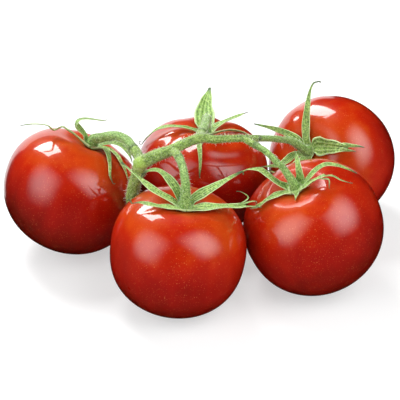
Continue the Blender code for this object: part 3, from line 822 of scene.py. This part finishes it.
class Nodes:
    """Adds nodes to a material, a lamp or a world, so that its colours can be written as sums."""

    def __init__(self, owner):
        owner.use_nodes = True
        self.owner, self.tree = owner, owner.node_tree

    def put(self, socket, value):
        if isinstance(value, bpy.types.NodeSocket):
            self.tree.links.new(value, socket)
        else:
            socket.default_value = value

    def add(self, kind, output=0, inputs=(), **settings):
        node = self.tree.nodes.new(f"ShaderNode{kind}")
        for key, value in settings.items():
            setattr(node, key, value)
        for key, value in dict(inputs).items():
            self.put(node.inputs[key], value)
        return node.outputs[output]

    def math(self, operation, a, b=0.0):
        return self.add("Math", 0, {0: a, 1: b}, operation=operation)

    def noise(self, coords, scale, detail=2.0, rough_share=0.5):
        inputs = {"Vector": coords, "Scale": scale, "Detail": detail, "Roughness": rough_share}
        return self.add("TexNoise", "Fac", inputs)

    def dots(self, coords, scale, size):
        """1 in round dots of about that share of their spacing, 0 between them."""
        cells = {"Vector": coords, "Scale": scale}
        distance = self.add("TexVoronoi", "Distance", cells)
        colour = self.add("TexVoronoi", "Color", cells)
        radius = self.math("MULTIPLY", self.add("SeparateColor", "Red", {"Color": colour}), size)
        inner = self.math("MULTIPLY", radius, 0.65)
        limits = {"Value": distance, "From Min": radius, "From Max": inner}
        return self.add("MapRange", "Result", limits)

    def band(self, value, low, high):
        """0 below low to 1 above high, smooth between."""
        limits = {"Value": value, "From Min": low, "From Max": high}
        return self.add("MapRange", "Result", limits, interpolation_type="SMOOTHSTEP")

    def mix(self, share, a, b):
        inputs = {0: share, 6: a, 7: b}
        return self.add("Mix", 2, inputs, data_type="RGBA")

    def tint(self, base, share, strength, over):
        """base, with up to that much of another colour where share is 1."""
        return self.mix(self.math("MULTIPLY", share, strength), base, over)

    def swing(self, value, amount):
        """A value of 0 to 1, as -amount / 2 to amount / 2."""
        return self.math("MULTIPLY", self.math("SUBTRACT", value, 0.5), amount)

    def parts(self, vector):
        split = self.add("SeparateXYZ", "X", {"Vector": vector}).node
        return split.outputs["X"], split.outputs["Y"], split.outputs["Z"]

    def ramp(self, value, *stops):
        made = self.add("ValToRGB", "Color", {"Fac": value})
        elements = made.node.color_ramp.elements
        while len(elements) < len(stops):
            elements.new(0.5)
        for element, (position, colour) in zip(elements, stops):
            element.position = position
            element.color = colour
        return made

    def bump(self, height, distance, strength, under=None):
        inputs = {"Height": height, "Distance": distance, "Strength": strength}
        if under is not None:
            inputs["Normal"] = under
        return self.add("Bump", "Normal", inputs)

    def set(self, shader="Principled BSDF", **values):
        """Sets inputs of the shader and returns the material, lamp or world."""
        for key, value in values.items():
            self.put(self.tree.nodes[shader].inputs[key.replace("_", " ")], value)
        return self.owner


def material_nodes(name):
    return Nodes(bpy.data.materials.new(name))


def colour(red, green, blue):
    return (red, green, blue, 1)


def grey(value):
    return (value, value, value, 1)


def tomato_look(name, ripe):
    """Glossy skin: deep red, more orange towards the hollow, with fine pale flecks, and painted
    shade that darkens it towards its lower side.
    """
    n = material_nodes(name)
    own = n.add("Attribute", "Vector", attribute_name="grain")
    place = n.add("NewGeometry", "Position")
    height = n.add("SeparateXYZ", "Z", {"Vector": own})
    patches = n.noise(place, 42, 3)
    streaks = n.noise(n.add("Mapping", 0, {"Vector": own, "Scale": (0.26, 0.26, 0.022)}), 1.0, 2)
    # Painted shade: the skin's colour darkens with height towards its lower side, as if lit from
    # above. The orange towards the stem end is the skin's own ripening colour.
    up = n.add("MapRange", "Result", {"Value": height, "From Min": -22, "From Max": 28})
    tone = n.math("ADD", up, n.swing(patches, 0.9))
    tone = n.math("ADD", tone, n.swing(streaks, 0.22))
    tone = n.math("ADD", tone, ripe)
    # The lowest stops, a near-black brownish red, are painted shade for the skin's underside.
    skin_red = n.ramp(
        tone,
        (0.0, colour(0.085, 0.0026, 0.0006)),
        (0.50, colour(0.27, 0.0038, 0.0006)),
        (0.78, colour(0.39, 0.012, 0.0008)),
        (1.0, colour(0.47, 0.042, 0.002)),
    )
    flat = n.add("Mapping", 0, {"Vector": own, "Scale": (1, 1, 0)})
    out = n.add("VectorMath", "Value", {0: flat}, operation="LENGTH")
    near_stem = n.math("MULTIPLY", n.band(out, 12, 3), n.band(height, 0, 10))
    skin_red = n.tint(skin_red, near_stem, 0.5, colour(0.46, 0.12, 0.008))
    scar = n.math("MULTIPLY", n.band(out, 1.7, 0.9), n.band(height, 0, -10))
    skin_red = n.mix(scar, skin_red, colour(0.10, 0.035, 0.012))
    flecks = n.dots(place, 900, 0.24)
    dust = n.dots(place, 1500, 0.30)
    where = n.band(n.noise(place, 90, 2), 0.35, 0.65)
    flecks = n.math("MULTIPLY", flecks, n.math("ADD", n.math("MULTIPLY", where, 0.22), 0.08))
    skin_red = n.mix(flecks, skin_red, colour(0.90, 0.36, 0.13))
    skin_red = n.tint(skin_red, dust, 0.30, colour(0.85, 0.24, 0.07))
    peel = n.bump(n.noise(place, 320, 2), 0.00012, 0.35)
    fine = n.bump(n.noise(place, 2600, 2), 0.00002, 0.5, peel)
    smudges = {"Value": n.noise(place, 60, 3), "To Min": 0.24, "To Max": 0.36}
    dullness = n.add("MapRange", "Result", smudges)
    # The skin is duller around the stem end.
    shoulder = n.band(out, 11, 16.5)
    lower = n.band(height, 6, 0)
    open_skin = n.math("MAXIMUM", shoulder, lower)
    gloss = n.math("ADD", n.math("MULTIPLY", open_skin, 0.97), 0.02)
    covered = n.math("SUBTRACT", 1.0, open_skin)
    dullness = n.math("ADD", dullness, n.math("MULTIPLY", covered, 0.3))
    return n.set(
        Base_Color=skin_red, Roughness=dullness, Normal=fine, Coat_Weight=gloss,
        Coat_Roughness=0.05, Coat_IOR=1.5, Specular_IOR_Level=0.12, Subsurface_Weight=0.10,
        Subsurface_Scale=0.0025, Subsurface_Radius=(1.0, 0.12, 0.05),
    )


def sepal_look():
    """Light green with paler veins and edges, painted shade in the furrows between the veins, dark
    specks, and tips that have dried dark.
    """
    n = material_nodes("sepal_green")
    across, along, top = n.parts(n.add("Attribute", "Vector", attribute_name="grain"))
    place = n.add("NewGeometry", "Position")
    mottle = n.noise(place, 980, 3, 0.65)
    patches = n.noise(place, 110, 2)
    green = n.ramp(
        mottle,
        (0.36, colour(0.080, 0.165, 0.020)),
        (0.45, colour(0.145, 0.28, 0.036)),
        (0.54, colour(0.275, 0.45, 0.080)),
        (0.66, colour(0.49, 0.68, 0.20)),
    )
    green = n.tint(green, n.band(patches, 0.45, 0.7), 0.35, colour(0.20, 0.37, 0.08))
    waves = n.math("COSINE", n.math("MULTIPLY", across, VEIN_PHASE))
    vein = n.band(waves, 0.55, 0.98)
    green = n.tint(green, vein, 0.5, colour(0.55, 0.70, 0.32))
    # Painted shade: the furrows between the veins, pressed in by the blade's shape and bump, are
    # darkened.
    furrow = n.band(waves, -0.5, -0.98)
    green = n.tint(green, furrow, n.band(mottle, 0.8, 0.25), colour(0.055, 0.12, 0.02))
    edge = n.band(n.math("ABSOLUTE", across), 0.72, 0.96)
    green = n.tint(green, edge, 0.8, colour(0.60, 0.76, 0.40))
    under = n.math("SUBTRACT", 1.0, top)
    green = n.tint(green, under, 0.35, colour(0.22, 0.34, 0.12))
    specks = n.dots(place, 1000, 0.24)
    green = n.tint(green, specks, 0.75, colour(0.03, 0.055, 0.015))
    pale = n.dots(place, 1400, 0.26)
    green = n.tint(green, pale, 0.6, colour(0.74, 0.84, 0.50))
    dried = n.math("ADD", along, n.swing(mottle, 0.25))
    green = n.tint(green, n.band(dried, 0.84, 0.99), 0.85, colour(0.03, 0.065, 0.035))
    veins_up = n.bump(waves, 0.00006, 0.6)
    skin_up = n.bump(mottle, 0.00014, 0.7, veins_up)
    fine = n.bump(n.noise(place, 3200, 2), 0.00004, 0.6, skin_up)
    return n.set(
        Base_Color=green, Roughness=n.band(mottle, -0.6, 1.3), Normal=fine,
        Sheen_Weight=0.05, Sheen_Roughness=0.4, Subsurface_Weight=0.12,
        Subsurface_Scale=0.0012, Subsurface_Radius=(0.5, 1.0, 0.2),
    )


def stem_look(name, dark, middle, light, knuckle=0.0):
    """Green with lengthwise streaks and mottling, a yellower knob and a pale dry cut end.

    knuckle is how dark the first 3 mm are, where a pedicel breaks off when it is ripe.
    """
    n = material_nodes(name)
    place = n.add("NewGeometry", "Position")
    turn, along, special = n.parts(n.add("Attribute", "Vector", attribute_name="grain"))
    around = {"X": n.math("SINE", turn), "Y": n.math("COSINE", turn)}
    unrolled = n.add("CombineXYZ", "Vector", around | {"Z": n.math("MULTIPLY", along, 0.12)})
    streaks = n.noise(unrolled, 3.2, 3, 0.6)
    mottle = n.noise(place, 1500, 3, 0.7)
    patches = n.noise(place, 160, 2)
    tone = n.math("ADD", n.math("MULTIPLY", streaks, 0.3), n.math("MULTIPLY", mottle, 0.7))
    green = n.ramp(tone, (0.38, dark), (0.48, middle), (0.60, light))
    green = n.tint(green, n.band(patches, 0.52, 0.75), 0.3, dark)
    specks = n.dots(place, 950, 0.30)
    green = n.tint(green, specks, 0.8, colour(0.022, 0.042, 0.012))
    pale = n.dots(place, 1250, 0.30)
    green = n.tint(green, pale, 0.6, colour(0.68, 0.80, 0.42))
    green = n.tint(green, n.band(special, 0.25, 1.0), 0.8, colour(0.40, 0.62, 0.085))
    if knuckle:
        near = n.math("MULTIPLY", n.band(along, 3.2, 0.3), n.band(mottle, 0.3, 0.6))
        green = n.tint(green, near, knuckle, colour(0.035, 0.05, 0.018))
    dry = n.ramp(mottle, (0.35, colour(0.30, 0.22, 0.10)), (0.6, colour(0.60, 0.52, 0.30)))
    green = n.mix(n.band(special, -0.4, -0.9), green, dry)
    ridges = n.bump(streaks, 0.0005, 0.7)
    skin_up = n.bump(mottle, 0.0005, 0.9, ridges)
    fine = n.bump(n.noise(place, 2600, 2), 0.0001, 0.8, skin_up)
    return n.set(
        Base_Color=green, Roughness=n.band(mottle, -0.5, 1.3), Normal=fine,
        Sheen_Weight=0.08, Sheen_Roughness=0.35, Subsurface_Weight=0.08,
        Subsurface_Scale=0.0012, Subsurface_Radius=(0.5, 1.0, 0.2),
    )


def hair_look():
    """Pale green at the root, nearly white at the tip."""
    n = material_nodes("hair_pale")
    _, along, _ = n.parts(n.add("Attribute", "Vector", attribute_name="grain"))
    place = n.add("NewGeometry", "Position")
    uneven = n.math("MULTIPLY", n.noise(place, 300), 0.4)
    shade = n.math("ADD", n.math("MULTIPLY", along, 0.6), uneven)
    pale = n.ramp(shade, (0.1, colour(0.50, 0.62, 0.36)), (0.6, colour(0.92, 0.95, 0.86)))
    return n.set(Base_Color=pale, Roughness=0.45)


def floor_look():
    """Pale and faintly glowing, a little more where no lamp reaches, to meet the horizon softly."""
    n = material_nodes("studio_floor")
    place = n.add("NewGeometry", "Position")
    pale = n.ramp(n.noise(place, 3, 2), (0.3, grey(0.49)), (0.7, grey(0.52)))
    away = n.add("VectorMath", "Value", {0: place}, operation="LENGTH")
    glow = n.ramp(n.math("MULTIPLY", away, 0.4), (0.3, grey(0.757)), (0.8, grey(1)))
    return n.set(Base_Color=pale, Roughness=0.6, Emission_Color=glow, Emission_Strength=FLOOR_GLOW)


# Studio


def make_floor():
    """A plain floor, which the skins don't mirror."""
    mesh = bpy.data.meshes.new("studio_floor")
    corners = [(x * FLOOR_HALF, y * FLOOR_HALF, 0) for x, y in ((-1, -1), (1, -1), (1, 1), (-1, 1))]
    mesh.from_pydata(corners, [], [(0, 1, 2, 3)])
    mesh.materials.append(floor_look())
    floor = bpy.data.objects.new("studio_floor", mesh)
    bpy.context.scene.collection.objects.link(floor)
    floor.visible_glossy = False


def make_world():
    """Pale near the horizon and dim above it. The skins mirror only the lamps."""
    world = bpy.data.worlds.new("studio")
    bpy.context.scene.world = world
    world.cycles_visibility.glossy = False
    n = Nodes(world)
    height = n.add("SeparateXYZ", "Z", {0: n.add("TexCoord", "Generated")})
    n.set("Background", Color=n.ramp(height, HORIZON, OVERHEAD))


def softbox(name, way, distance, size, radiance, soft_edge):
    """A rectangular lamp that looks at the truss."""
    data = bpy.data.lights.new(name, "AREA")
    data.shape = "RECTANGLE"
    data.size, data.size_y = size
    data.energy = radiance * pi * size[0] * size[1]
    lamp = bpy.data.objects.new(name, data)
    bpy.context.scene.collection.objects.link(lamp)
    target = Vector(LAMP_TARGET)
    lamp.location = target + Vector(way).normalized() * distance
    lamp.rotation_mode = "QUATERNION"
    lamp.rotation_quaternion = (target - lamp.location).to_track_quat("-Z", "Y")
    lamp.visible_camera = False
    if soft_edge:
        fade_edges(data, soft_edge)


def fade_edges(data, soft_edge):
    """Dims a lamp towards its edges, over that share of each side."""
    n = Nodes(data)
    across, along, _ = n.parts(n.add("NewGeometry", "Parametric"))
    fades = [n.band(n.math("PINGPONG", k, 0.5), 0, soft_edge) for k in (across, along)]
    n.set("Emission", Strength=n.math("MULTIPLY", *fades))


def make_camera():
    """In front of the truss and looking down on it."""
    data = bpy.data.cameras.new("camera")
    data.sensor_width = SENSOR
    data.lens = LENS
    camera = bpy.data.objects.new("camera", data)
    bpy.context.scene.collection.objects.link(camera)
    tilt = radians(CAMERA_TILT)
    way = Vector((0, -cos(tilt), sin(tilt)))
    camera.location = Vector(CAMERA_TARGET) + way * CAMERA_DISTANCE
    camera.rotation_euler = (pi / 2 - tilt, 0, 0)
    bpy.context.scene.camera = camera


# The truss


def show(made, slot, *nodes):
    """The piece rides on the truss's only body and stands for its CAD nodes."""
    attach(made, "root")
    if nodes:
        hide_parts(*nodes)
    return made


# How far each skin's colour is moved towards its orange end
RIPENESS = {"left": 0.02, "front": 0.04, "right": -0.04, "back_right": 0.06, "back": -0.03}
# Dark, middle and light
STEM_GREENS = [colour(0.046, 0.095, 0.012), colour(0.180, 0.305, 0.045), colour(0.43, 0.60, 0.16)]
PEDICEL_GREENS = [colour(0.050, 0.115, 0.016), colour(0.175, 0.33, 0.058), colour(0.40, 0.60, 0.19)]
KNUCKLE_DARK = 0.8


def make_truss():
    for name, tomato in TOMATOES.items():
        measure(name, tomato)
        look = tomato_look(f"tomato_skin_{name}", RIPENESS[name])
        show(tomato_piece(name, look), "tomato_skin", f"tomato_{name}")
    leaf = sepal_look()
    stalk = stem_look("pedicel_green", *PEDICEL_GREENS, KNUCKLE_DARK)
    arch = stem_look("stem_green", *STEM_GREENS)
    calyces = [show(calyx_piece(name, leaf), "calyx", f"calyx_{name}") for name in TOMATOES]
    stalks = [show(pedicel_piece(name, stalk), "pedicel", f"pedicel_{name}") for name in TOMATOES]
    stem = show(main_stem_piece(arch), "stem", "main_stem")
    rng = np.random.default_rng(SEED)
    hairs = hair_look()
    bpy.context.view_layer.update()
    hosts = {"stem": [stem], "pedicel": stalks, "calyx": calyces}
    for name, (slot, *sizes) in HAIRS.items():
        show(hair_piece(name, hosts[slot], *sizes, hairs, rng), slot)


make_camera()
make_world()
for lamp_name, settings in LAMPS.items():
    softbox(lamp_name, *settings)
make_floor()
make_truss()
bpy.context.scene.view_settings.view_transform = "Standard"

bpy.context.view_layer.update()
